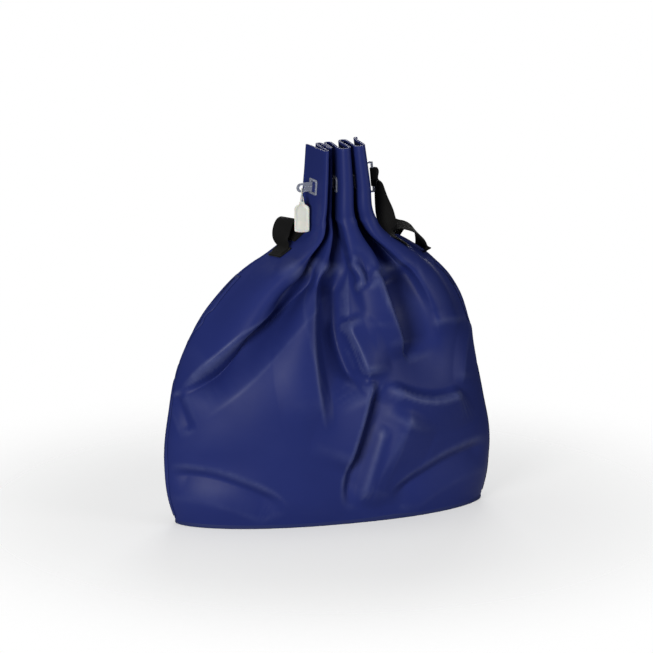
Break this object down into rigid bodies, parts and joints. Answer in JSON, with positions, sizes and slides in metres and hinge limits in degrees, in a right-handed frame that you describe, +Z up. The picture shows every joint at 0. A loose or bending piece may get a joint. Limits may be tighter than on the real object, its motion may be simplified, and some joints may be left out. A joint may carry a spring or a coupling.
{
  "type": "gathered-neck sack",
  "caption": "Coated-fabric sack with a base, its neck folded and held shut by a slotted closure blade with a hanging seal, with webbing side handles and a tether.",
  "frame": {"origin": "middle of the bounding box, on the floor under the base", "axes": "+Z up from the base to the neck, the sack's longest way; +X to the seen right, towards the tether; +Y from the front panel to the back panel, its shortest way"},
  "size_m": [0.4564, 0.1832, 0.5082],
  "materials": {
    "vinyl": "semi-matt coated sheet, dark blue",
    "webbing": "ribbed woven webbing, black",
    "clear_plastic": "translucent moulded plastic",
    "seal_plastic": "off-white moulded plastic",
    "lock_plastic": "blue moulded plastic"
  },
  "bodies": {
    "bag": {"front_panel": "vinyl", "back_panel": "vinyl", "base_panel": "vinyl", "slot_plate_front_1": "clear_plastic", "slot_plate_front_2": "clear_plastic", "slot_plate_front_3": "clear_plastic", "slot_plate_front_4": "clear_plastic", "slot_plate_front_5": "clear_plastic", "slot_plate_front_6": "clear_plastic", "slot_plate_front_7": "clear_plastic", "slot_plate_front_8": "clear_plastic", "slot_plate_back_1": "clear_plastic", "slot_plate_back_2": "clear_plastic", "slot_plate_back_3": "clear_plastic", "slot_plate_back_4": "clear_plastic", "slot_plate_back_5": "clear_plastic", "slot_plate_back_6": "clear_plastic", "slot_plate_back_7": "clear_plastic", "slot_plate_back_8": "clear_plastic", "tether_strap": "webbing", "left_handle_upper_end": "webbing", "left_handle_lower_end": "webbing", "right_handle_upper_end": "webbing", "right_handle_lower_end": "webbing", "left_handle_backing": "vinyl", "tether_backing": "vinyl", "right_handle_backing": "vinyl"},
    "closure": {"closure_blade": "clear_plastic"},
    "seal": {"seal_body": "seal_plastic", "seal_shackle": "seal_plastic", "seal_lock_insert": "lock_plastic"},
    "left_handle": {"left_handle": "webbing"},
    "right_handle": {"right_handle": "webbing"}
  },
  "joints": [
    {"name": "closure_slide", "type": "slide", "parent": "bag", "child": "closure", "axis": [0.9962, 0, 0.0872], "range_m": [0, 0.0015]},
    {"name": "seal_swing", "type": "hinge", "parent": "closure", "child": "seal", "pos_m": [-0.0349, 0.006, 0.44108], "axis": [-1, 0, 0], "range_deg": [0, 80]},
    {"name": "left_handle_swing", "type": "hinge", "parent": "bag", "child": "left_handle", "pos_m": [-0.0405, 0.02, 0.3905], "axis": [-0.7395, -0.4341, -0.5145], "range_deg": [-20, 40]},
    {"name": "right_handle_swing", "type": "hinge", "parent": "bag", "child": "right_handle", "pos_m": [0.0955, 0.0245, 0.38], "axis": [0.8451, -0.0194, -0.5343], "range_deg": [-40, 40]}
  ]
}
